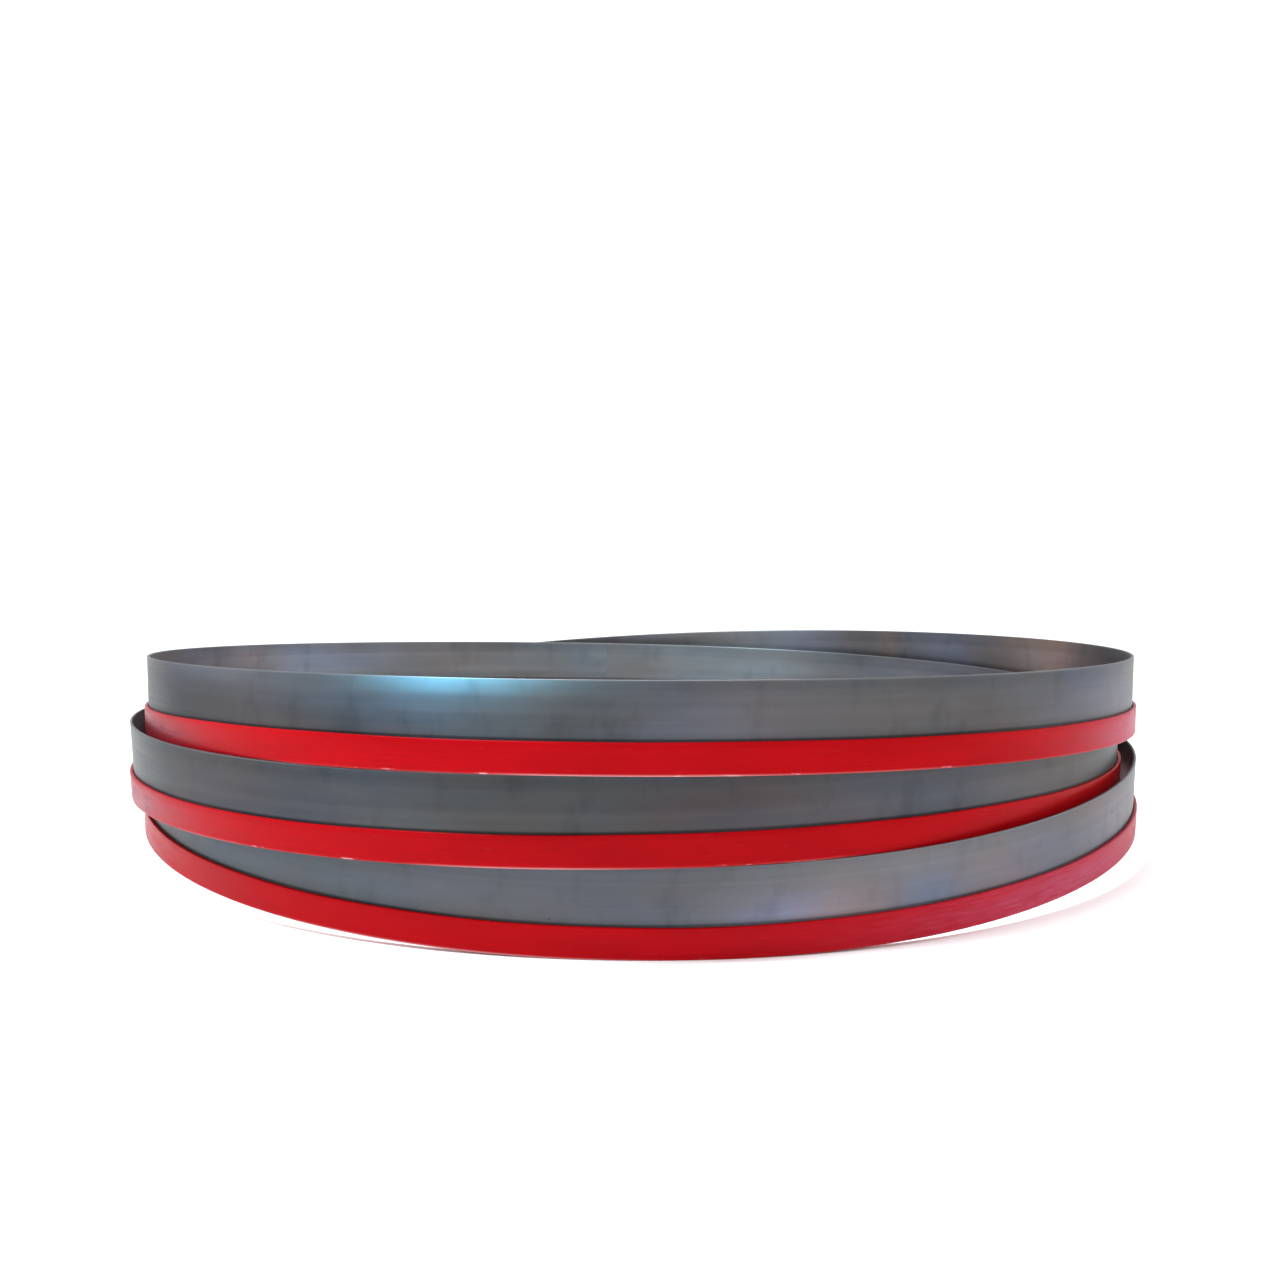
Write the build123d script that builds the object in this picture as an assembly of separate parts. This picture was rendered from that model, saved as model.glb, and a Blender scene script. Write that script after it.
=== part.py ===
from build123d import *
from bisect import bisect_right
import math
import os

# A welded endless band saw blade, folded into three loops and laid on a bench with its teeth
# down, inside the plastic guard strip that it is stored and sold in.
# Millimetres, +Z up. The origin is on the bench under the middle of the coil, and -Y is the
# side where the three loops stand one above the other.

# The steel band
BAND_WIDTH = 34.0  # back edge to tooth tips
BAND_THICKNESS = 1.1
LOOP_RADIUS = 242.0  # mean radius of the three loops

# The teeth: hooked, and bent left, right and straight in turn
TOOTH_PITCH = 25.0
TOOTH_DEPTH = 6.5  # tip to gullet floor
HOOK_ANGLE = 10.0
RAKE_HEIGHT = 3.6  # straight part of the rake face
GULLET_TURN = (0.6, 5.8)  # where the gullet turns towards its floor, from the tip
TOOTH_SET = 0.45  # sideways bend of a set tooth at its tip
SET_PATTERN = (1, -1, 0)
TOOTH_GRIND = 0.13  # taken off each side of a tooth, inside the band's faces
ROOT_SINK = 0.35  # tooth plate inside the band, above the gullet floor
ROOT_AHEAD = 3.6  # length of the plate's root, ahead of the tip
ROOT_BEHIND = 13.5
TIP_SHARE = 0.75  # where a tip stands in its pitch

# The guard: a channel pushed over the teeth, whose walls thicken towards the mouth and grip
GUARD_HEIGHT = 13.0
GUARD_WALL = 1.0  # beside the slot's floor
GUARD_FLOOR = 1.7
MOUTH_CLEARANCE = 0.25  # each side of the band
TIP_CLEARANCE = 0.3  # under the tooth tips and beside the set teeth
GUARD_GAP = 5.0  # between the strip's two ends
GUARD_GAP_ANGLE = 452.0  # path angle of that gap, low at the back
BENCH_FLAT = 0.2  # how deep the guard is pressed flat where it bears on the bench

# Sizes that follow from these
SLOT_WIDTH = BAND_THICKNESS + 2 * (TOOTH_SET + TIP_CLEARANCE)
MOUTH_WIDTH = BAND_THICKNESS + 2 * MOUTH_CLEARANCE
GUARD_THICKNESS = SLOT_WIDTH + 2 * GUARD_WALL
GUARDED_HEIGHT = BAND_WIDTH + TIP_CLEARANCE + GUARD_FLOOR
BODY_WIDTH = BAND_WIDTH - TOOTH_DEPTH
TOOTH_THICKNESS = BAND_THICKNESS - 2 * TOOTH_GRIND

# The path of the folded band. It goes round three times before it closes, so a path angle
# runs from 0 to 1080 degrees, with 0 on +X. Stations stand every 60 degrees, from the front
# of the top loop through the bottom loop and the middle one back to the top.
LOOPS = 3
STATION_START = -90.0
STRAND_GAP = 0.35  # between two guarded strands that lie side by side
STRAND_SPACING = GUARD_THICKNESS + STRAND_GAP

# Height of the band's back edge above the bench, in guarded band heights
LEVELS = (
    3.040, 2.798, 2.384, 2.027, 1.611, 1.249,
    1.000, 1.248, 1.253, 1.007, 1.489, 1.872,
    2.022, 1.984, 1.853, 1.883, 2.243, 2.796,
)
# How far the strand lies outside the mean radius, in strand spacings
SHIFTS = (
    0.71, 0.13, -0.12, 0.32, 0.44, -0.20,
    -1.38, 0.00, 0.55, 1.06, 1.60, 1.23,
    -0.90, -1.66, -0.85, -1.23, -0.36, -0.08,
)
# How far the back edge leans outward, in degrees
LEANS = (
    0.0, 0.0, 0.0, 0.0, 0.0, 0.0,
    0.0, 1.3, 1.3, 0.0, 2.0, 2.0,
    0.0, 0.0, 0.0, 0.0, 0.0, 0.0,
)

RUNS = 26  # lengths that the band and the guard are each built from
SECTION_SPACING = 45.0
TABLE_STEP = 2.0  # degrees between entries of the path's length table
TANGENT_STEP = 0.5  # degrees each way from a point to the two that give its direction


def around(stations, angle):
    """Value at a path angle of the smooth closed curve through evenly spaced stations."""
    count = len(stations)
    total = 0.0
    for index, value in enumerate(stations):
        phase = math.radians(angle - STATION_START) / LOOPS - 2 * math.pi * index / count
        phase = math.remainder(phase, 2 * math.pi)
        weight = 1.0
        if abs(phase) > 1e-9:
            weight = math.sin(count * phase / 2) / (count * math.tan(phase / 2))
        total += weight * value
    return total


def path_point(angle):
    """Point on the strand's centre line, halfway up the guarded band."""
    radius = LOOP_RADIUS + STRAND_SPACING * around(SHIFTS, angle)
    height = GUARDED_HEIGHT * (around(LEVELS, angle) - 0.5) - BENCH_FLAT
    turn = math.radians(angle)
    return Vector(radius * math.cos(turn), radius * math.sin(turn), height)


def path_frame(angle):
    """Centre, cutting direction, way out of the coil and way up the band at a path angle."""
    centre = path_point(angle)
    along = (path_point(angle + TANGENT_STEP) - path_point(angle - TANGENT_STEP)).normalized()
    turn = math.radians(angle)
    lean = math.radians(around(LEANS, angle))
    outward = Vector(math.cos(turn), math.sin(turn), 0)
    up = Vector(0, 0, 1) * math.cos(lean) + outward * math.sin(lean)
    up = (up - along * up.dot(along)).normalized()
    return centre, along, along.cross(up), up


def length_table():
    """Path angles and the distance along the band to each of them."""
    angles = [0.0]
    distances = [0.0]
    last = path_point(0.0)
    while angles[-1] < 360.0 * LOOPS:
        angles.append(angles[-1] + TABLE_STEP)
        point = path_point(angles[-1])
        distances.append(distances[-1] + (point - last).length)
        last = point
    return angles, distances


TABLE_ANGLES, TABLE_DISTANCES = length_table()
BAND_LENGTH = TABLE_DISTANCES[-1]
SET_GROUPS = round(BAND_LENGTH / (TOOTH_PITCH * len(SET_PATTERN)))
TOOTH_COUNT = SET_GROUPS * len(SET_PATTERN)
TRUE_PITCH = BAND_LENGTH / TOOTH_COUNT


def angle_at(distance):
    """Path angle at a distance along the band, past either end of the table too."""
    laps = math.floor(distance / BAND_LENGTH)
    rest = distance - laps * BAND_LENGTH
    index = min(bisect_right(TABLE_DISTANCES, rest), len(TABLE_DISTANCES) - 1)
    before = TABLE_DISTANCES[index - 1]
    share = (rest - before) / (TABLE_DISTANCES[index] - before)
    return laps * 360.0 * LOOPS + TABLE_ANGLES[index - 1] + share * TABLE_STEP


def distance_at(angle):
    """Distance along the band to a path angle between 0 and 1080 degrees."""
    index = int(angle // TABLE_STEP)
    share = (angle - TABLE_ANGLES[index]) / TABLE_STEP
    step = TABLE_DISTANCES[index + 1] - TABLE_DISTANCES[index]
    return TABLE_DISTANCES[index] + share * step


def section_plane(distance):
    """Plane across the strand: X out of the coil, Y up the band."""
    centre, along, outward, _ = path_frame(angle_at(distance))
    return Plane(origin=centre, x_dir=outward, z_dir=-along)


def strand_run(profile, start, end):
    """Solid of one cross-section carried along the path between two distances."""
    count = max(2, math.ceil((end - start) / SECTION_SPACING))
    step = (end - start) / count
    return loft([section_plane(start + i * step) * profile for i in range(count + 1)])


def band_profile():
    """Cross-section of the band above its gullets."""
    middle = GUARDED_HEIGHT / 2 - BODY_WIDTH / 2
    return Pos(0, middle) * Rectangle(BAND_THICKNESS, BODY_WIDTH)


def guard_profile():
    """Cross-section of the guard channel."""
    base = -GUARDED_HEIGHT / 2
    top = base + GUARD_HEIGHT
    right = [
        (GUARD_THICKNESS / 2, base),
        (GUARD_THICKNESS / 2, top),
        (MOUTH_WIDTH / 2, top),
        (SLOT_WIDTH / 2, base + GUARD_FLOOR),
    ]
    left = [(-x, y) for x, y in reversed(right)]
    return make_face(Polyline(*right, *left, close=True))


def tooth_plate():
    """One tooth, its tip at the origin, X in the cutting direction and Y towards the band."""
    rake_end = (-RAKE_HEIGHT * math.tan(math.radians(HOOK_ANGLE)), RAKE_HEIGHT)
    root = TOOTH_DEPTH + ROOT_SINK
    outline = [(0, 0), rake_end, GULLET_TURN, (ROOT_AHEAD, root), (-ROOT_BEHIND, root)]
    face = make_face(Polyline(*outline, close=True))
    return extrude(face, amount=TOOTH_THICKNESS / 2, both=True)


def placed_tooth(plate, distance, bend):
    """The tooth plate with its tip at a distance along the band, bent about its root."""
    half_length = (ROOT_AHEAD + ROOT_BEHIND) / 2
    middle = ROOT_AHEAD - half_length
    centre, along, outward, up = path_frame(angle_at(distance + middle))
    chord_rise = half_length**2 / (4 * LOOP_RADIUS)
    root = centre + up * (GUARDED_HEIGHT / 2 - BODY_WIDTH) - outward * chord_rise
    plane = Plane(origin=root, x_dir=along, z_dir=outward)
    set_angle = bend * math.degrees(math.atan(TOOTH_SET / TOOTH_DEPTH))
    return plane.location * Rot(X=set_angle) * Pos(-middle, -TOOTH_DEPTH) * plate


def make_saw_band():
    """The endless band: short lengths, each with its own teeth, joined end to end."""
    plate = tooth_plate()
    profile = band_profile()
    lengths = []
    for run in range(RUNS):
        first = round(run * TOOTH_COUNT / RUNS)
        last = round((run + 1) * TOOTH_COUNT / RUNS)
        body = strand_run(profile, first * TRUE_PITCH, last * TRUE_PITCH)
        teeth = []
        for tooth in range(first, last):
            tip = (tooth + TIP_SHARE) * TRUE_PITCH
            teeth.append(placed_tooth(plate, tip, SET_PATTERN[tooth % len(SET_PATTERN)]))
        lengths.append(body.fuse(*teeth))
    return lengths[0].fuse(*lengths[1:])


def make_tooth_guard():
    """The guard strip: one channel right round the band, with a gap between its ends."""
    profile = guard_profile()
    start = distance_at(GUARD_GAP_ANGLE) + GUARD_GAP / 2
    step = (BAND_LENGTH - GUARD_GAP) / RUNS
    lengths = [strand_run(profile, start + i * step, start + (i + 1) * step) for i in range(RUNS)]
    strip = lengths[0].fuse(*lengths[1:])
    bench_width = 3 * LOOP_RADIUS
    bench = Pos(0, 0, -GUARDED_HEIGHT / 2) * Box(bench_width, bench_width, GUARDED_HEIGHT)
    return strip - bench


def centred(pieces):
    """The pieces moved level, so that the origin is under the middle of the whole coil."""
    middle = Compound(list(pieces.values())).bounding_box().center()
    return {name: Pos(-middle.X, -middle.Y) * piece for name, piece in pieces.items()}


os.makedirs("parts", exist_ok=True)
coil = centred({"saw_band": make_saw_band(), "tooth_guard": make_tooth_guard()})
for name, piece in coil.items():
    export_step(piece, f"parts/{name}.step")
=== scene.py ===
import math

import bpy
import numpy as np
from mathutils import Matrix, Vector


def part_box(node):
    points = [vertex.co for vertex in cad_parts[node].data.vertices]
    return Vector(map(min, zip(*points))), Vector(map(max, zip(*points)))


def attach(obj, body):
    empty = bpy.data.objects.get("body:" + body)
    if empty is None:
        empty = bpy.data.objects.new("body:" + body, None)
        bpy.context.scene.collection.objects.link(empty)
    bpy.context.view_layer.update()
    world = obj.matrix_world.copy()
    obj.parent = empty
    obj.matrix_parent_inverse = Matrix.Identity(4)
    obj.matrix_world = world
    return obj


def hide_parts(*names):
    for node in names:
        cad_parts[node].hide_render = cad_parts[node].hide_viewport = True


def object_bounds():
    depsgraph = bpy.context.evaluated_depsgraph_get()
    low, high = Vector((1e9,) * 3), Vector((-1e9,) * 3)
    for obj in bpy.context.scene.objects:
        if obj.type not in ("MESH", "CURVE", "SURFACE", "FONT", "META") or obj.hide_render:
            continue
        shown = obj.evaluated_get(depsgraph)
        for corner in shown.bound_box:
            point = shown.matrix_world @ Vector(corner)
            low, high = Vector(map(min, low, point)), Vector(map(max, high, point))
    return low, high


# The looks of a folded band saw blade in its plastic tooth guard. The path, the band and the
# guard are worked out from the same sizes as in the part's source, with the rounded edges, the
# curved gullets and the uneven lip that the source leaves out.

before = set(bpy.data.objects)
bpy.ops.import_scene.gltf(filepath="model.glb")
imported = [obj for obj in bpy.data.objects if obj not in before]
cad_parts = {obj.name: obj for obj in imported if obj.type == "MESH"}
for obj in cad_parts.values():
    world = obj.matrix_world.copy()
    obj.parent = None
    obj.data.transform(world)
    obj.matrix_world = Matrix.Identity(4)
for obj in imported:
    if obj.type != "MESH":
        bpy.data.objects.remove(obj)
cad_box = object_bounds()

MM_PER_METRE = 1000.0

# Sizes in millimetres, as in the part's source
BAND_WIDTH = 34.0
BAND_THICKNESS = 1.1
LOOP_RADIUS = 242.0
TOOTH_PITCH = 25.0
TOOTH_DEPTH = 6.5
HOOK_ANGLE = 10.0
RAKE_HEIGHT = 3.6
TOOTH_SET = 0.45
SET_PATTERN = (1, -1, 0)
TIP_SHARE = 0.75
GUARD_HEIGHT = 13.0
GUARD_WALL = 1.0
GUARD_FLOOR = 1.7
MOUTH_CLEARANCE = 0.25
TIP_CLEARANCE = 0.3
GUARD_GAP = 5.0
GUARD_GAP_ANGLE = 452.0
BENCH_FLAT = 0.2
SLOT_WIDTH = BAND_THICKNESS + 2 * (TOOTH_SET + TIP_CLEARANCE)
MOUTH_WIDTH = BAND_THICKNESS + 2 * MOUTH_CLEARANCE
GUARD_THICKNESS = SLOT_WIDTH + 2 * GUARD_WALL
GUARDED_HEIGHT = BAND_WIDTH + TIP_CLEARANCE + GUARD_FLOOR
LOOPS = 3
STATION_START = -90.0
STRAND_SPACING = GUARD_THICKNESS + 0.35
LEVELS = (
    3.040, 2.798, 2.384, 2.027, 1.611, 1.249,
    1.000, 1.248, 1.253, 1.007, 1.489, 1.872,
    2.022, 1.984, 1.853, 1.883, 2.243, 2.796,
)
SHIFTS = (
    0.71, 0.13, -0.12, 0.32, 0.44, -0.20,
    -1.38, 0.00, 0.55, 1.06, 1.60, 1.23,
    -0.90, -1.66, -0.85, -1.23, -0.36, -0.08,
)
LEANS = (
    0.0, 0.0, 0.0, 0.0, 0.0, 0.0,
    0.0, 1.3, 1.3, 0.0, 2.0, 2.0,
    0.0, 0.0, 0.0, 0.0, 0.0, 0.0,
)
TANGENT_STEP = 0.5  # degrees each way from a point to the two that give its direction
WELD_ANGLE = 815.0  # path angle of the band's weld, high at the back

# One tooth: places along the band are measured ahead of its tip, heights from its tip up
BACK_SLOPE = 6.85 / 13.5  # rise of the straight back
BACK_STATIONS = (10.7, 8.5, 6.5, 4.2, 2.0)  # behind the tip
GULLET_CURVE = ((-0.2, 4.95), (0.6, 5.8), (1.5, 6.3))
GULLET_REACH = 2.6  # where the next pitch's flat begins
FLAT_SHARES = (0.66, 0.33)  # of the flat's length, behind the foot of the tooth's back
# Of the body's columns, one above each point of the edge from the foot of the back on
BODY_STATIONS = (-12.9, -10.9, -8.9, -6.9, -5.0, -3.3, -2.0, -1.2, -0.5, 0.2, 0.9, 1.8, 2.8)

# The band's section, from the tooth tips up
TOOTH_MIDDLE = 4.0  # of the row between the toothed edge and the body
BODY_ROWS = (8.5, 14.0, 20.0, 27.0, 33.3)
BACK_ROUND = 0.22  # of the back edge's two corners
ROUND_SHARE = 0.29  # how far the middle of a rounding lies from its corner, in radii
TOOTH_WEAR = (0.8, 0.2)  # at the toothed edge and above it
BACK_WEAR_AND_HIGHLIGHT = (0.6, 1.0, 0.8, 0.6, 0.8, 1.0, 0.6)  # over the back edge: wear and a painted highlight

# The guard's section, from its foot up
GUARD_RINGS = 1480
FOOT_ROUND = 0.55
LIP_ROUNDS = (0.4, 0.25)  # outside and at the mouth
SLOT_ROUND = 0.3
WALL_ROWS = (1.0, 3.0, 6.5, 10.0)
MOUTH_DEPTHS = (2.2, 4.0)  # below the lip: where the grip ends, and where the slot is full
MOUTH_TAPER = 0.05
WORN_HEIGHT = 2.0  # the foot's corners are worn up to here

# An extruded strip is never quite even: its upper lip and its foot wander a little
LIP_REACH = 3.5  # how far down from the lip this is seen
LIP_SINK = 0.17
FOOT_REACH = 5.0  # and how far up from the foot
WANDERS = ((0.10, 37.0, 0.0), (0.07, 13.7, 1.0))  # size, length for one radian, start
# Where the lip dips and the foot hangs low: path angle, half length, how much
LIP_DIPS = ((822.0, 80.0, 0.8), (140.0, 60.0, 0.2), (520.0, 70.0, 0.2))
FOOT_DROPS = (
    (958.0, 85.0, 0.45),
    (640.0, 80.0, 0.55),
    (300.0, 60.0, 0.2),
    (100.0, 70.0, 0.25),
    (420.0, 50.0, 0.2),
    (760.0, 60.0, 0.2),
)
SHARP_ANGLE = 38.0  # degrees between two faces that meet in a sharp edge

# Soft patches of tint and of painted light and shade: path angle, height up the strip, half
# length, half height, face, tint
OUTSIDE, INSIDE = 1, -1
STEEL_TINTS_AND_PAINTED_LIGHT = (
    # the top strand's front
    (923.0, 22.0, 80.0, 24.0, OUTSIDE, (0.62, 0.61, 0.70)),
    (930.0, 16.0, 60.0, 14.0, OUTSIDE, (0.58, 0.57, 0.57)),
    # painted highlight: a pale line along the top edge
    (940.0, 33.0, 55.0, 5.0, OUTSIDE, (1.70, 1.75, 1.95)),
    (952.0, 18.0, 26.0, 9.0, OUTSIDE, (1.08, 0.98, 0.96)),
    (962.0, 14.0, 7.0, 7.0, OUTSIDE, (0.82, 0.82, 0.84)),
    # painted glint: a blue halo of reflection on the face, and a bright blue line on the top edge
    (973.0, 30.0, 46.0, 12.0, OUTSIDE, (0.92, 1.32, 1.62)),
    (974.0, 33.5, 38.0, 4.0, OUTSIDE, (2.10, 3.60, 3.95)),
    # painted shade: these two darken the face where the blue lamp lights it
    (984.0, 14.0, 22.0, 9.0, OUTSIDE, (0.86, 0.90, 0.88)),
    (968.0, 14.0, 75.0, 10.0, OUTSIDE, (0.74, 0.73, 0.76)),
    (998.0, 20.0, 34.0, 13.0, OUTSIDE, (1.26, 1.16, 1.20)),
    (1012.0, 22.0, 30.0, 12.0, OUTSIDE, (1.20, 1.18, 1.16)),
    (1042.0, 20.0, 60.0, 22.0, OUTSIDE, (0.92, 0.93, 0.99)),
    # painted sheen: brighter towards the right end
    (1050.0, 20.0, 45.0, 24.0, OUTSIDE, (2.00, 2.00, 2.20)),
    # the middle strand's front
    (580.0, 22.0, 75.0, 18.0, OUTSIDE, (0.78, 0.72, 0.75)),
    # painted shade: this and the next darken the face where the blue lamp lights it
    (600.0, 22.0, 65.0, 18.0, OUTSIDE, (0.84, 0.80, 0.78)),
    (625.0, 22.0, 85.0, 18.0, OUTSIDE, (0.66, 0.67, 0.66)),
    (637.0, 20.0, 36.0, 9.0, OUTSIDE, (0.98, 0.83, 0.88)),
    (655.0, 18.0, 50.0, 12.0, OUTSIDE, (1.00, 1.02, 1.12)),
    # painted sheen: brighter towards the right end
    (690.0, 20.0, 50.0, 16.0, OUTSIDE, (1.30, 1.36, 1.40)),
    # the lowest strand's front
    (250.0, 22.0, 40.0, 9.0, OUTSIDE, (1.12, 1.12, 1.22)),
    (268.0, 20.0, 50.0, 14.0, OUTSIDE, (0.98, 0.95, 0.97)),
    (284.0, 15.0, 26.0, 6.0, OUTSIDE, (1.22, 1.34, 1.72)),
    (298.0, 22.0, 90.0, 24.0, OUTSIDE, (1.85, 1.78, 1.80)),
    (289.5, 13.0, 22.0, 10.0, OUTSIDE, (1.42, 1.08, 0.94)),
    (299.0, 15.0, 17.0, 6.0, OUTSIDE, (0.90, 1.08, 1.40)),
    (309.0, 17.0, 24.0, 8.0, OUTSIDE, (1.24, 1.04, 0.96)),
    # painted sheen: this and the next, brighter towards the right end
    (335.0, 22.0, 60.0, 18.0, OUTSIDE, (1.32, 1.32, 1.40)),
    (332.0, 20.0, 45.0, 24.0, OUTSIDE, (1.65, 1.65, 1.75)),
    # the highest strands' inner faces, at the back and the sides: painted light that brightens
    # them, with blue and brown tints
    # painted light: these two brighten the inner faces at the back
    (882.0, 28.0, 120.0, 26.0, INSIDE, (2.05, 2.20, 2.38)),
    (815.0, 28.0, 120.0, 26.0, INSIDE, (1.18, 1.30, 1.32)),
    (66.0, 28.0, 30.0, 20.0, INSIDE, (1.05, 1.15, 1.38)),
    (51.0, 28.0, 7.0, 20.0, INSIDE, (1.35, 1.15, 1.02)),
    (40.0, 28.0, 22.0, 20.0, INSIDE, (1.05, 1.14, 1.35)),
    # painted light: a much brighter patch, tinted brown
    (16.0, 28.0, 46.0, 22.0, INSIDE, (3.35, 2.70, 2.25)),
)
GUARD_TINTS_AND_PAINTED_LIGHT = (
    (622.0, 7.0, 120.0, 12.0, OUTSIDE, (0.86, 0.7, 0.8)),
    # painted shade and painted sheen: darker red with a pale pink haze at the top guard's left end
    (926.0, 6.0, 58.0, 7.0, OUTSIDE, (0.44, 60.0, 12.0)),
    # painted sheen: a pale pink haze at the top guard's right end
    (1060.0, 6.0, 66.0, 9.0, OUTSIDE, (1.16, 165.0, 46.0)),
    # painted shade and painted sheen: darker red with a pale pink haze at the middle guard's left
    # end
    (563.0, 6.0, 62.0, 8.0, OUTSIDE, (0.56, 90.0, 18.0)),
    # painted sheen: a pale pink haze at the lowest guard's right end
    (322.0, 5.0, 95.0, 9.0, OUTSIDE, (1.14, 150.0, 40.0)),
)
PIT_PLACE = (329.5, 23.5)  # a small dark pit in the band's outer face: path angle, height

# Colours
STEEL_WARM = (0.090, 0.079, 0.077)
STEEL_PLAIN = (0.082, 0.081, 0.085)
STEEL_COOL = (0.076, 0.082, 0.098)
# the bright back edge: wear and a painted highlight
STEEL_WEAR_AND_HIGHLIGHT = (0.26, 0.265, 0.28)
STEEL_EDGE_TINT = (0.72, 0.72, 0.72, 1.0)
GUARD_RED = (0.325, 0.0004, 0.0028)
GUARD_SCRAPED = (0.70, 0.34, 0.34)
GUARD_SCUFFED = (0.55, 0.03, 0.045)
FLOOR_SHADES = ((0.925, 0.925, 0.925), (0.940, 0.940, 0.940))
ROOM_COLOUR = (0.985, 0.99, 1.0, 1.0)
ROOM_STRENGTH = 1.16
WHITE = (1.0, 1.0, 1.0)
GLINT_BLUE = (0.60, 0.90, 1.0)

# Places in a texture on the band, in metres up the outer face from the tooth tips
BACK_MIDDLE = 0.0345  # round the section to the middle of the back edge
LIP_SHADE_LINE = 0.0114  # painted shade: a dark line on the band along the guard's lip
UPPER_STRIP = (0.0270, 0.0282)  # where the slightly darker strip begins

NOISE_SPAN = (0.3, 0.7)  # the values that a noise mostly has

# Lights: name, place, target, size, power, colour
BENCH_MIDDLE = (0.0, 0.0, 0.05)
LIGHTS = (
    ("key_light", (-0.9, -1.3, 1.7), BENCH_MIDDLE, (1.4, 1.0), 1.5, WHITE),
    ("top_light", (0.0, 0.0, 0.75), (0.0, 0.12, 0.05), (0.5, 0.4), 7.0, WHITE),
    ("left_light", (-1.7, 0.1, 0.5), BENCH_MIDDLE, (1.0, 0.9), 2.0, WHITE),
    ("right_light", (1.7, 0.1, 0.5), BENCH_MIDDLE, (1.0, 0.9), 3.5, WHITE),
    (
        "glint_light", (-0.27, -0.262, 0.514), (-0.0745, -0.2335, 0.109), (0.11, 0.05), 4.4,
        GLINT_BLUE,
    ),
)

# The camera, which stands where the photograph was taken from
PHOTO_WIDTH = 1280.0
FOCAL_LENGTH = 1773.14  # in the photograph's pixels
SENSOR_WIDTH = 36.0
CAMERA_PLACE = (0.00297, -0.89704, 0.19706)
CAMERA_DOWN = 0.1116  # radians below the level
CAMERA_TURN = 0.0005
CAMERA_ROLL = 0.0012
CLIP_RANGE = (0.01, 100.0)
FLOOR_SIZE = 24.0


def around(stations, angles):
    """Values at path angles of the smooth closed curve through evenly spaced stations."""
    count = len(stations)
    steps = np.arange(count)
    phase = np.radians(angles - STATION_START)[..., None] / LOOPS - 2 * np.pi * steps / count
    phase = (phase + np.pi) % (2 * np.pi) - np.pi
    near = np.abs(phase) < 1e-9
    safe = np.where(near, 1.0, phase)
    weight = np.where(near, 1.0, np.sin(count * safe / 2) / (count * np.tan(safe / 2)))
    return weight @ np.array(stations)


def path_points(angles):
    """Points at path angles on the strand's centre line, halfway up the guarded band."""
    radius = LOOP_RADIUS + STRAND_SPACING * around(SHIFTS, angles)
    height = GUARDED_HEIGHT * (around(LEVELS, angles) - 0.5) - BENCH_FLAT
    turn = np.radians(angles)
    return np.stack([radius * np.cos(turn), radius * np.sin(turn), height], axis=-1)


def unit(vectors):
    return vectors / np.linalg.norm(vectors, axis=-1, keepdims=True)


TABLE_ANGLES = np.arange(0.0, 360.0 * LOOPS + 1.0, 1.0)
TABLE_STEPS = np.linalg.norm(np.diff(path_points(TABLE_ANGLES), axis=0), axis=1)
TABLE_DISTANCES = np.concatenate([[0.0], np.cumsum(TABLE_STEPS)])
BAND_LENGTH = TABLE_DISTANCES[-1]
TOOTH_COUNT = len(SET_PATTERN) * round(BAND_LENGTH / (TOOTH_PITCH * len(SET_PATTERN)))
TRUE_PITCH = BAND_LENGTH / TOOTH_COUNT


def angle_at(distances):
    """Path angles at distances along the band, past its ends too."""
    laps = np.floor(distances / BAND_LENGTH)
    rest = distances - laps * BAND_LENGTH
    return laps * 360.0 * LOOPS + np.interp(rest, TABLE_DISTANCES, TABLE_ANGLES)


def distance_at(angle):
    """Distance along the band to a path angle."""
    return float(np.interp(angle, TABLE_ANGLES, TABLE_DISTANCES))


def placed(distances, across, up_band):
    """Points at distances along the band, offset out of the coil and up the band."""
    angles = angle_at(distances)
    centre = path_points(angles)
    along = unit(path_points(angles + TANGENT_STEP) - path_points(angles - TANGENT_STEP))
    turn = np.radians(angles)
    lean = np.radians(around(LEANS, angles))
    nothing = np.zeros_like(turn)
    outward = np.stack([np.cos(turn), np.sin(turn), nothing], axis=-1)
    upright = np.stack([nothing, nothing, nothing + 1.0], axis=-1)
    up = upright * np.cos(lean)[..., None] + outward * np.sin(lean)[..., None]
    up = unit(up - along * np.sum(up * along, axis=-1, keepdims=True))
    outward = np.cross(along, up)
    return centre + outward * across[..., None] + up * up_band[..., None]


def gap_from(distances, angle):
    """Signed distance along the band from a path angle, the short way round."""
    gap = distances - distance_at(angle)
    return (gap + BAND_LENGTH / 2) % BAND_LENGTH - BAND_LENGTH / 2


def fading(distances, angle, half_length):
    """Weight that falls softly from 1 at a path angle, along the band."""
    return np.exp(-((gap_from(distances, angle) / half_length) ** 2))


def tints_with_painted_light(tints_and_light, distances, heights, across):
    """Tint of each point: soft patches of tint and of painted light and shade along the strip, on
    one side of it.
    """
    tints = np.ones((*distances.shape, 3))
    for angle, height, half_length, half_height, face, tint in tints_and_light:
        weight = fading(distances, angle, half_length)
        weight = weight * np.exp(-(((heights - height) / half_height) ** 2))
        weight = weight * (across * face > 0)
        tints = tints * (1 + weight[..., None] * (np.array(tint) - 1))
    return tints


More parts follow.
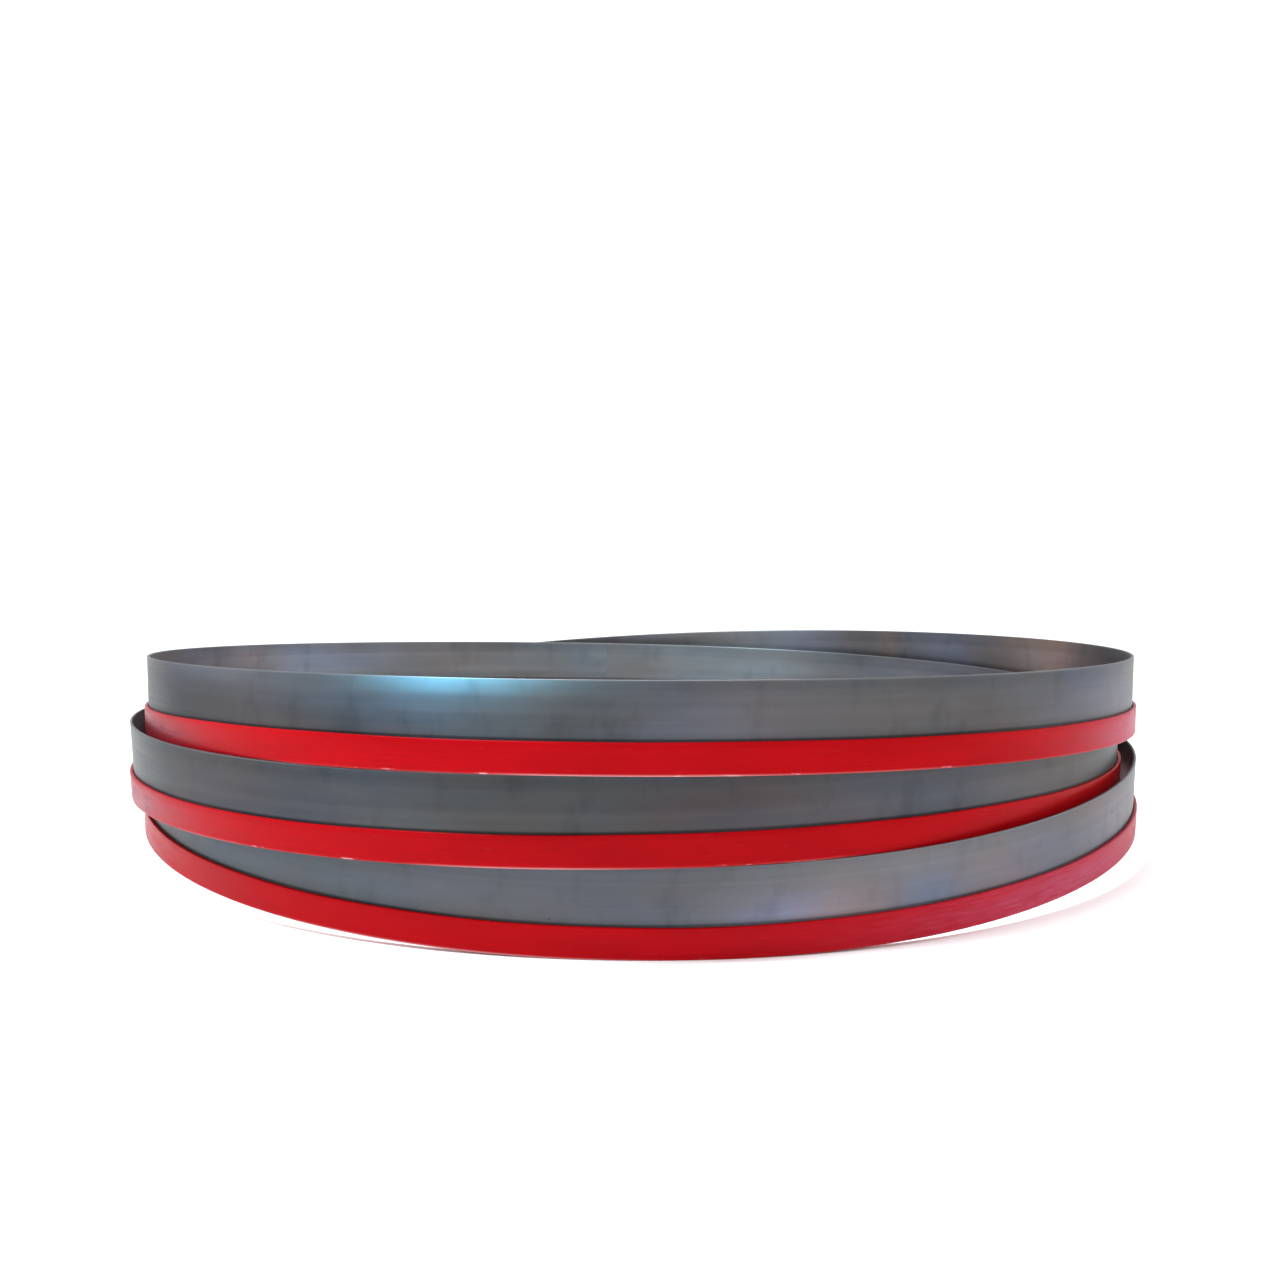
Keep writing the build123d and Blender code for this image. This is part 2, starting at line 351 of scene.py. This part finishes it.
def tube(name, points, lengths, girths, wear_and_highlight_marks, tints_and_light, closed):
    """Mesh of rings of points; its UV is metres along the strip and metres round the section."""
    rings, ring = points.shape[:2]
    count = rings if closed else rings - 1
    i, j = np.meshgrid(np.arange(count), np.arange(ring), indexing="ij")
    near, far = i % rings, (i + 1) % rings
    left, right = j, (j + 1) % ring
    quads = np.stack(
        [near * ring + left, far * ring + left, far * ring + right, near * ring + right], axis=-1
    )
    faces = quads.reshape(-1, 4).tolist()
    if not closed:
        faces.append(list(range(ring)))
        faces.append([(rings - 1) * ring + k for k in reversed(range(ring))])
    mesh = bpy.data.meshes.new(name)
    mesh.from_pydata((points.reshape(-1, 3) / MM_PER_METRE).tolist(), [], faces)
    ends = np.append(lengths, lengths[-1] + lengths[1] - lengths[0])
    turns = np.append(girths, girths[-1] + girths[1] - girths[0])
    u = np.stack([ends[i], ends[i + 1], ends[i + 1], ends[i]], axis=-1)
    v = np.stack([turns[j], turns[j], turns[j + 1], turns[j + 1]], axis=-1)
    uv = np.zeros((len(mesh.loops), 2), dtype=np.float32)
    uv[: u.size, 0] = u.reshape(-1)
    uv[: v.size, 1] = v.reshape(-1)
    mesh.uv_layers.new(name="strip").data.foreach_set("uv", uv.ravel())
    # wear, and on the band's back edge a painted highlight
    edge = mesh.attributes.new("edge_wear_and_highlight", "FLOAT", "POINT")
    edge.data.foreach_set("value", np.tile(wear_and_highlight_marks, rings).astype(np.float32))
    # tints of each point, with painted light and shade
    tint_and_light = mesh.attributes.new("tint_and_light", "FLOAT_COLOR", "POINT")
    shades = np.concatenate([tints_and_light.reshape(-1, 3), np.ones((rings * ring, 1))], axis=1)
    tint_and_light.data.foreach_set("color", shades.astype(np.float32).ravel())
    mesh.polygons.foreach_set("use_smooth", np.ones(len(mesh.polygons), dtype=bool))
    mesh.validate()
    mesh.update()
    piece = bpy.data.objects.new(name, mesh)
    bpy.context.scene.collection.objects.link(piece)
    return piece


def rounded(corners, steps):
    """Outline of corner points (x, y, radius), each corner rounded in steps; with wear marks."""
    outline, marks = [], []
    count = len(corners)
    for index in range(count):
        x, y, radius = corners[index]
        here = Vector((x, y))
        if radius <= 0:
            outline.append(here)
            marks.append(0.0)
            continue
        before = (Vector(corners[index - 1][:2]) - here).normalized()
        after = (Vector(corners[(index + 1) % count][:2]) - here).normalized()
        half = before.angle(after) / 2
        middle = here + (before + after).normalized() * radius / math.sin(half)
        first = here + before * (radius / math.tan(half)) - middle
        turn = math.pi - 2 * half
        side = 1.0 if before.x * after.y - before.y * after.x < 0 else -1.0
        for step in range(steps + 1):
            spin = Matrix.Rotation(side * turn * step / steps, 2)
            outline.append(middle + spin @ first)
            marks.append(math.sin(math.pi * (step + 0.5) / (steps + 1)))
    return np.array([tuple(p) for p in outline]), np.array(marks)


def girth_of(outline):
    """Metres round a section to each of its points."""
    steps = np.linalg.norm(np.diff(outline, axis=0), axis=1)
    return np.concatenate([[0.0], np.cumsum(steps)]) / MM_PER_METRE


def guard_section():
    """Corners (x, y, radius) of the guard's cross-section, from its foot up and over the slot."""
    base = -GUARDED_HEIGHT / 2
    top = base + GUARD_HEIGHT
    half = GUARD_THICKNESS / 2
    mouth, slot = MOUTH_WIDTH / 2, SLOT_WIDTH / 2
    right = [
        (half, base, FOOT_ROUND),
        *((half, base + height, 0.0) for height in WALL_ROWS),
        (half, top, LIP_ROUNDS[0]),
        (mouth, top, LIP_ROUNDS[1]),
        (mouth + MOUTH_TAPER, top - MOUTH_DEPTHS[0], 0.0),
        (slot, top - MOUTH_DEPTHS[1], 0.0),
        (slot, base + GUARD_FLOOR, SLOT_ROUND),
    ]
    return right + [(-x, y, radius) for x, y, radius in reversed(right)]


def make_guard():
    base = -GUARDED_HEIGHT / 2
    lip_start = base + GUARD_HEIGHT - LIP_REACH
    outline, marks = rounded(guard_section(), 3)
    at_foot = outline[:, 1] < base + WORN_HEIGHT
    marks = marks * at_foot * (np.abs(outline[:, 0]) > SLOT_WIDTH / 2)
    start = distance_at(GUARD_GAP_ANGLE) + GUARD_GAP / 2
    distances = start + np.linspace(0.0, BAND_LENGTH - GUARD_GAP, GUARD_RINGS)
    along = np.repeat(distances[:, None], len(outline), axis=1)
    across = np.repeat(outline[None, :, 0], GUARD_RINGS, axis=0)
    upward = np.repeat(outline[None, :, 1], GUARD_RINGS, axis=0)
    wander = sum(size * np.sin(along / length + first) for size, length, first in WANDERS)
    for angle, half_length, dip in LIP_DIPS:
        wander = wander - dip * fading(along, angle, half_length)
    lip = np.clip((upward - lip_start) / LIP_REACH, 0.0, 1.0)
    upward = upward + lip * (wander - LIP_SINK)
    foot = np.clip((base + FOOT_REACH - upward) / FOOT_REACH, 0.0, 1.0)
    for angle, half_length, drop in FOOT_DROPS:
        upward = upward - foot * drop * fading(along, angle, half_length)
    points = placed(along, across, upward)
    points[..., 2] = np.maximum(points[..., 2], 0.0)
    lengths = (distances - start) / MM_PER_METRE
    # painted sheen and shade at the strip's ends, and a darker patch
    tints_and_light = tints_with_painted_light(GUARD_TINTS_AND_PAINTED_LIGHT, along, upward + GUARDED_HEIGHT / 2, across)
    return tube("guard_strip", points, lengths, girth_of(outline), marks, tints_and_light, closed=False)


def tooth_outline():
    """One pitch of the toothed edge, (along, height) from the back, and stations above it."""
    rake_top = -RAKE_HEIGHT * math.tan(math.radians(HOOK_ANGLE))
    back = TOOTH_DEPTH / BACK_SLOPE
    flat = TRUE_PITCH - back - GULLET_REACH
    tip = TIP_SHARE * TRUE_PITCH
    flats = [tip - back - flat * share for share in FLAT_SHARES]
    points = [
        *((along, TOOTH_DEPTH) for along in flats),
        (tip - back, TOOTH_DEPTH),
        *((tip - behind, behind * BACK_SLOPE) for behind in BACK_STATIONS),
        (tip, 0.0),
        (tip + rake_top / 2, RAKE_HEIGHT / 2),
        (tip + rake_top, RAKE_HEIGHT),
        *((tip + ahead, height) for ahead, height in GULLET_CURVE),
        (tip + GULLET_REACH, TOOTH_DEPTH),
    ]
    return np.array(points), np.array(flats + [tip + ahead for ahead in BODY_STATIONS])


def make_band():
    outline, above = tooth_outline()
    teeth = np.arange(TOOTH_COUNT)
    edge_along = (teeth[:, None] * TRUE_PITCH + outline[None, :, 0]).reshape(-1)
    body_along = (teeth[:, None] * TRUE_PITCH + above[None, :]).reshape(-1)
    edge_height = np.tile(outline[:, 1], TOOTH_COUNT)
    bend = np.repeat([SET_PATTERN[tooth % len(SET_PATTERN)] for tooth in teeth], len(outline))
    columns = len(edge_along)
    half = BAND_THICKNESS / 2
    near = BACK_ROUND * ROUND_SHARE
    body = [(half, height) for height in BODY_ROWS]
    back_edge = [
        (half, BAND_WIDTH - BACK_ROUND),
        (half - near, BAND_WIDTH - near),
        (half - BACK_ROUND, BAND_WIDTH),
        (0.0, BAND_WIDTH),
        (-half + BACK_ROUND, BAND_WIDTH),
        (-half + near, BAND_WIDTH - near),
        (-half, BAND_WIDTH - BACK_ROUND),
    ]
    straight = body + back_edge + [(-x, height) for x, height in reversed(body)]

    def toothed_row(side, share):
        """A row between the toothed edge (share 0) and the body (share 1)."""
        height = edge_height + (BODY_ROWS[0] - edge_height) * share
        along = edge_along + (body_along - edge_along) * share
        sideways = bend * TOOTH_SET * np.clip((TOOTH_DEPTH - height) / TOOTH_DEPTH, 0.0, 1.0)
        return along, sideways + side * half, height

    # up the outer face from the teeth, over the back edge and down the inner face
    rows = [toothed_row(OUTSIDE, 0.0), toothed_row(OUTSIDE, 0.5)]
    rows += [(body_along, np.full(columns, x), np.full(columns, y)) for x, y in straight]
    rows += [toothed_row(INSIDE, 0.5), toothed_row(INSIDE, 0.0)]
    along, across, height = (np.stack(values, axis=1) for values in zip(*rows))
    points = placed(along, across, height + GUARDED_HEIGHT / 2 - BAND_WIDTH)
    # tints, with painted light and shade: a glint, a highlight, brighter inner faces and ends,
    # darker patches
    tints_and_light = tints_with_painted_light(STEEL_TINTS_AND_PAINTED_LIGHT, along, height, across)
    # the mesh starts at the weld, so the texture's seam is there
    first = int(np.searchsorted(body_along, distance_at(WELD_ANGLE)))
    order = np.roll(np.arange(columns), -first)
    lengths = (body_along[order] - body_along[first]) % BAND_LENGTH / MM_PER_METRE
    plain = (0.0,) * len(body)
    marks = np.array(TOOTH_WEAR + plain + BACK_WEAR_AND_HIGHLIGHT + plain + TOOTH_WEAR[::-1])
    section = [(half, 0.0), (half, TOOTH_MIDDLE), *straight, (-half, TOOTH_MIDDLE), (-half, 0.0)]
    girths = girth_of(np.array(section))
    return tube(
        "saw_band_steel", points[order], lengths, girths, marks, tints_and_light[order], closed=True
    )


class Nodes:
    """A material's nodes, made one by one."""

    MIX_INPUTS = (0, 6, 7)  # sockets of the factor and the two colours
    MIX_RESULT = 2

    def __init__(self, name):
        self.material = bpy.data.materials.new(name)
        self.material.use_nodes = True
        self.tree = self.material.node_tree
        self.tree.nodes.clear()
        self.shader = self.add("ShaderNodeBsdfPrincipled")
        self.link(self.shader.outputs[0], self.add("ShaderNodeOutputMaterial").inputs["Surface"])

    def link(self, source, target):
        self.tree.links.new(source, target)

    def add(self, kind, **values):
        node = self.tree.nodes.new(kind)
        for key, value in values.items():
            setattr(node, key, value)
        return node

    def fill(self, socket, value):
        """Link a socket to another node's output, or set it to a number or colour."""
        if isinstance(value, (int, float)):
            socket.default_value = value
        elif isinstance(value, tuple):
            socket.default_value = (*value, 1.0)
        else:
            self.link(value, socket)

    def attribute(self, name, output):
        return self.add("ShaderNodeAttribute", attribute_name=name).outputs[output]

    def noise(self, vector, scale, detail, roughness):
        """Noise of a scale along each of the vector's axes."""
        mapping = self.add("ShaderNodeMapping")
        self.link(vector, mapping.inputs["Vector"])
        mapping.inputs["Scale"].default_value = scale
        node = self.add("ShaderNodeTexNoise")
        self.link(mapping.outputs["Vector"], node.inputs["Vector"])
        node.inputs["Scale"].default_value = 1.0
        node.inputs["Detail"].default_value = detail
        node.inputs["Roughness"].default_value = roughness
        return node.outputs["Fac"]

    def ramp(self, source, stops):
        node = self.add("ShaderNodeValToRGB")
        self.link(source, node.inputs["Fac"])
        elements = node.color_ramp.elements
        elements[0].position, elements[0].color = stops[0][0], (*stops[0][1], 1.0)
        elements[1].position, elements[1].color = stops[-1][0], (*stops[-1][1], 1.0)
        for position, colour in stops[1:-1]:
            elements.new(position).color = (*colour, 1.0)
        return node.outputs["Color"]

    def range(self, source, span, result):
        """Map a span of the source to the result's span, and no further."""
        node = self.add("ShaderNodeMapRange")
        self.link(source, node.inputs["Value"])
        node.inputs["From Min"].default_value, node.inputs["From Max"].default_value = span
        node.inputs["To Min"].default_value, node.inputs["To Max"].default_value = result
        return node.outputs["Result"]

    def math(self, operation, *values):
        node = self.add("ShaderNodeMath", operation=operation)
        for socket, value in zip(node.inputs, values):
            self.fill(socket, value)
        return node.outputs[0]

    def product(self, *values):
        result = values[0]
        for value in values[1:]:
            result = self.math("MULTIPLY", result, value)
        return result

    def mix(self, factor, first, second, blend="MIX"):
        node = self.add("ShaderNodeMix", data_type="RGBA", blend_type=blend)
        for index, value in zip(self.MIX_INPUTS, (factor, first, second)):
            self.fill(node.inputs[index], value)
        return node.outputs[self.MIX_RESULT]

    def bump(self, height, strength, distance, before=None):
        node = self.add("ShaderNodeBump")
        self.link(height, node.inputs["Height"])
        node.inputs["Strength"].default_value = strength
        node.inputs["Distance"].default_value = distance
        if before is not None:
            self.link(before, node.inputs["Normal"])
        return node.outputs["Normal"]

    def finish(self, colour, roughness, normal):
        self.link(colour, self.shader.inputs["Base Color"])
        self.link(roughness, self.shader.inputs["Roughness"])
        if normal is not None:
            self.link(normal, self.shader.inputs["Normal"])
        return self.material


def steel_material():
    """Rolled steel: fine lines along the band, soft clouds, patches of tint and of painted light
    and shade, a painted shade line along the guard's lip, and a back edge brightened by wear and a
    painted highlight.
    """
    n = Nodes("rolled_steel")
    uv = n.add("ShaderNodeUVMap", uv_map="strip").outputs["UV"]
    grain = n.noise(uv, (14.0, 1700.0, 1.0), 4.0, 0.6)
    bands = n.noise(uv, (1.3, 150.0, 1.0), 2.0, 0.5)
    clouds = n.noise(uv, (16.0, 45.0, 1.0), 3.0, 0.55)
    smudges = n.noise(uv, (75.0, 38.0, 1.0), 3.0, 0.55)
    tint = n.noise(uv, (11.0, 34.0, 1.0), 2.0, 0.5)
    specks = n.noise(uv, (260.0, 260.0, 1.0), 2.0, 0.6)
    base = n.ramp(tint, [(0.32, STEEL_WARM), (0.50, STEEL_PLAIN), (0.68, STEEL_COOL)])
    parts = n.add("ShaderNodeSeparateXYZ")
    n.link(uv, parts.inputs[0])
    height = n.math("PINGPONG", parts.outputs["Y"], BACK_MIDDLE)
    # painted shade: a dark line on the band along the guard's lip
    from_lip_shade = n.math("ABSOLUTE", n.math("SUBTRACT", height, LIP_SHADE_LINE))
    from_pit = n.add("ShaderNodeVectorMath", operation="DISTANCE")
    n.link(uv, from_pit.inputs[0])
    pit_along = (distance_at(PIT_PLACE[0]) - distance_at(WELD_ANGLE)) % BAND_LENGTH
    from_pit.inputs[1].default_value = (pit_along / MM_PER_METRE, PIT_PLACE[1] / MM_PER_METRE, 0.0)
    tone = n.product(
        n.range(clouds, NOISE_SPAN, (0.86, 1.14)),
        n.range(bands, (0.35, 0.65), (0.92, 1.08)),
        n.range(grain, NOISE_SPAN, (0.95, 1.05)),
        n.range(smudges, (0.30, 0.46), (0.86, 1.0)),
        n.range(specks, (0.20, 0.26), (0.70, 1.0)),
        # painted shade along the guard's lip
        n.range(from_lip_shade, (0.0002, 0.0007), (0.58, 1.0)),
        n.range(height, UPPER_STRIP, (1.0, 0.92)),
        n.range(from_pit.outputs["Value"], (0.0003, 0.0012), (0.55, 1.0)),
    )
    colour = n.mix(1.0, base, tone, "MULTIPLY")
    # tints, with painted light and shade from the patches
    colour = n.mix(1.0, colour, n.attribute("tint_and_light", "Color"), "MULTIPLY")
    # the back edge brightened by wear and a painted highlight; the teeth by wear
    wear_and_highlight = n.product(n.attribute("edge_wear_and_highlight", "Fac"), 0.45)
    colour = n.mix(wear_and_highlight, colour, STEEL_WEAR_AND_HIGHLIGHT)
    roughness = n.math(
        "ADD",
        n.range(clouds, NOISE_SPAN, (0.40, 0.48)),
        n.range(grain, NOISE_SPAN, (-0.04, 0.04)),
    )
    n.shader.inputs["Metallic"].default_value = 1.0
    n.shader.inputs["Specular Tint"].default_value = STEEL_EDGE_TINT
    n.shader.inputs["Anisotropic"].default_value = 0.75
    n.shader.inputs["Anisotropic Rotation"].default_value = 0.25
    return n.finish(colour, roughness, n.bump(grain, 0.10, 0.0002))


def plastic_material():
    """Red extruded plastic: fine lines along the strip, painted pale sheen and painted shade
    towards its ends, scuffs and a nicked foot.
    """
    n = Nodes("red_extrusion")
    uv = n.add("ShaderNodeUVMap", uv_map="strip").outputs["UV"]
    lines = n.noise(uv, (9.0, 1500.0, 1.0), 3.0, 0.6)
    wave = n.noise(uv, (26.0, 110.0, 1.0), 2.0, 0.5)
    scuffs = n.noise(uv, (70.0, 700.0, 1.0), 4.0, 0.65)
    nicks = n.noise(uv, (95.0, 320.0, 1.0), 3.0, 0.6)
    rubbed = n.noise(uv, (5.0, 1.0, 1.0), 1.0, 0.5)
    tone = n.product(
        n.range(lines, NOISE_SPAN, (0.92, 1.08)), n.range(wave, NOISE_SPAN, (0.93, 1.06))
    )
    colour = n.mix(1.0, GUARD_RED, tone, "MULTIPLY")
    # the patches' painted sheen and shade
    tinted_and_lit_colour = n.mix(1.0, colour, n.attribute("tint_and_light", "Color"), "MULTIPLY")
    colour = n.mix(n.range(scuffs, (0.35, 0.62), (0.45, 1.0)), colour, tinted_and_lit_colour)
    scraped = n.math(
        "MAXIMUM",
        n.range(nicks, (0.60, 0.66), (0.0, 0.85)),
        n.range(rubbed, (0.50, 0.60), (0.05, 0.55)),
    )
    pale = n.product(n.attribute("edge_wear_and_highlight", "Fac"), scraped)
    colour = n.mix(pale, colour, GUARD_SCRAPED)
    colour = n.mix(n.range(scuffs, (0.62, 0.74), (0.0, 0.30)), colour, GUARD_SCUFFED)
    roughness = n.math(
        "ADD", n.range(wave, NOISE_SPAN, (0.30, 0.40)), n.range(scuffs, (0.5, 0.7), (0.0, 0.14))
    )
    n.shader.inputs["Specular IOR Level"].default_value = 0.045
    normal = n.bump(lines, 0.10, 0.0003, before=n.bump(wave, 0.25, 0.0008))
    return n.finish(colour, roughness, normal)


def floor_material():
    n = Nodes("pale_floor")
    soft = n.noise(n.add("ShaderNodeTexCoord").outputs["Object"], (3.0, 3.0, 3.0), 2.0, 0.5)
    colour = n.ramp(soft, list(zip(NOISE_SPAN, FLOOR_SHADES)))
    return n.finish(colour, n.range(soft, NOISE_SPAN, (0.62, 0.70)), None)


def add_light(name, place, target, size, power, colour):
    data = bpy.data.lights.new(name, "AREA")
    data.shape = "RECTANGLE"
    data.size, data.size_y = size
    data.energy = power
    data.color = colour
    lamp = bpy.data.objects.new(name, data)
    lamp.location = place
    lamp.rotation_euler = (Vector(target) - Vector(place)).to_track_quat("-Z", "Y").to_euler()
    bpy.context.scene.collection.objects.link(lamp)


def add_camera():
    data = bpy.data.cameras.new("photo_camera")
    data.sensor_width = SENSOR_WIDTH
    data.lens = SENSOR_WIDTH * FOCAL_LENGTH / PHOTO_WIDTH
    data.clip_start, data.clip_end = CLIP_RANGE
    camera = bpy.data.objects.new("photo_camera", data)
    camera.location = CAMERA_PLACE
    turned = Matrix.Rotation(CAMERA_TURN, 4, "Z")
    tilted = Matrix.Rotation(math.pi / 2 - CAMERA_DOWN, 4, "X")
    rolled = Matrix.Rotation(CAMERA_ROLL, 4, "Z")
    camera.rotation_euler = (turned @ tilted @ rolled).to_euler()
    bpy.context.scene.collection.objects.link(camera)
    bpy.context.scene.camera = camera


def vertex_places(piece):
    places = np.empty(3 * len(piece.data.vertices), dtype=np.float32)
    piece.data.vertices.foreach_get("co", places)
    return places.reshape(-1, 3).astype(float)


guard = make_guard()
band = make_band()

# The source moves the coil so that the origin is under its middle, and so does this
low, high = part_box("tooth_guard")
own = vertex_places(guard)
shift = (np.array(low) + np.array(high) - own.min(axis=0) - own.max(axis=0)) / 2
shift[2] = 0.0
for piece in (guard, band):
    places = np.clip(vertex_places(piece) + shift, np.array(cad_box[0]), np.array(cad_box[1]))
    piece.data.vertices.foreach_set("co", places.astype(np.float32).ravel())
    piece.data.update()
    piece.data.set_sharp_from_angle(angle=math.radians(SHARP_ANGLE))
guard.data.materials.append(plastic_material())
band.data.materials.append(steel_material())
for piece, node, slot in (
    (guard, "tooth_guard", "guard_plastic"),
    (band, "saw_band", "band_steel"),
):
    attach(piece, "root")
    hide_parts(node)

bpy.ops.mesh.primitive_plane_add(size=FLOOR_SIZE, location=(0.0, 0.0, 0.0))
floor = bpy.context.object
floor.name = "studio_floor"
floor.data.materials.append(floor_material())

world = bpy.data.worlds.new("soft_room")
world.use_nodes = True
background = world.node_tree.nodes["Background"]
background.inputs["Color"].default_value = ROOM_COLOUR
background.inputs["Strength"].default_value = ROOM_STRENGTH
bpy.context.scene.world = world
bpy.context.scene.view_settings.view_transform = "Standard"
for light in LIGHTS:
    add_light(*light)
add_camera()
